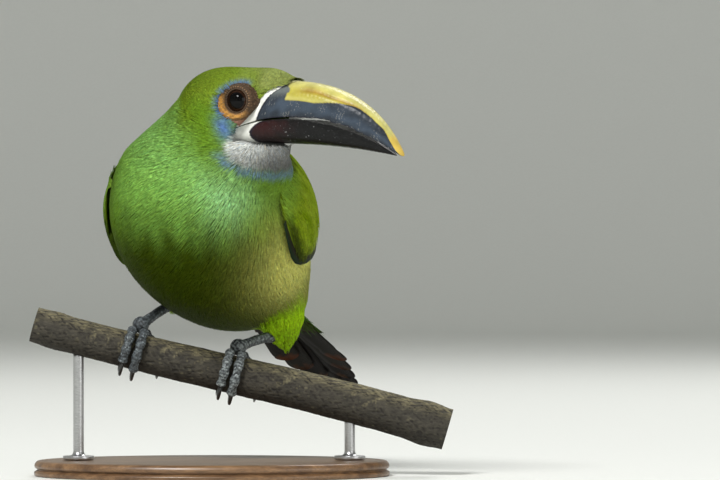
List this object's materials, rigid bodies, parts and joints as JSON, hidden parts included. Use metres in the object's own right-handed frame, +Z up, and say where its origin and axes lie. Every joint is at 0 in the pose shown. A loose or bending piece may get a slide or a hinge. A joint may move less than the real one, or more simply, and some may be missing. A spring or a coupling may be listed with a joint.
{
  "type": "toucanet model on a perch stand",
  "caption": "Life-size still model of a green white-throated toucanet with a curved bill, gripping a short branch held by rods over an oval base.",
  "frame": {"origin": "middle of the oval base's underside, on the floor", "axes": "+Z up, +X along the perch towards its thick, low end, the bird's breast faces -Y and its bill points to +X"},
  "size_m": [0.1908, 0.2169, 0.1827],
  "materials": {
    "plumage": "soft matte feathers, bright green with a white throat",
    "flight_feathers": "smooth matte vanes, olive green and blackish, chestnut tips on the tail",
    "bill_horn": "semi-gloss horn, black with a yellow culmen and a white base line",
    "eye": "wet gloss, near black",
    "leg_scales": "blue-grey scales, satin",
    "claw_horn": "satin dark horn",
    "bark": "rough grey-brown bark with pale lichen",
    "stand_wood": "satin hardwood",
    "stand_steel": "brushed"
  },
  "bodies": {
    "root": {"bill_lower": "bill_horn", "bill_upper": "bill_horn", "eye_left": "eye", "eye_right": "eye", "foot_left_claw_1": "claw_horn", "foot_left_claw_2": "claw_horn", "foot_left_claw_3": "claw_horn", "foot_left_claw_4": "claw_horn", "foot_left_pad": "leg_scales", "foot_left_toe_1": "leg_scales", "foot_left_toe_2": "leg_scales", "foot_left_toe_3": "leg_scales", "foot_left_toe_4": "leg_scales", "foot_right_claw_1": "claw_horn", "foot_right_claw_2": "claw_horn", "foot_right_claw_3": "claw_horn", "foot_right_claw_4": "claw_horn", "foot_right_pad": "leg_scales", "foot_right_toe_1": "leg_scales", "foot_right_toe_2": "leg_scales", "foot_right_toe_3": "leg_scales", "foot_right_toe_4": "leg_scales", "head": "plumage", "leg_left_tarsus": "leg_scales", "leg_right_tarsus": "leg_scales", "neck": "plumage", "perch_branch": "bark", "stand_base": "stand_wood", "stand_rod_left": "stand_steel", "stand_rod_right": "stand_steel", "tail": "flight_feathers", "thigh_left": "plumage", "thigh_right": "plumage", "trunk": "plumage", "wing_left": "plumage", "wing_right": "plumage"}
  },
  "joints": []
}
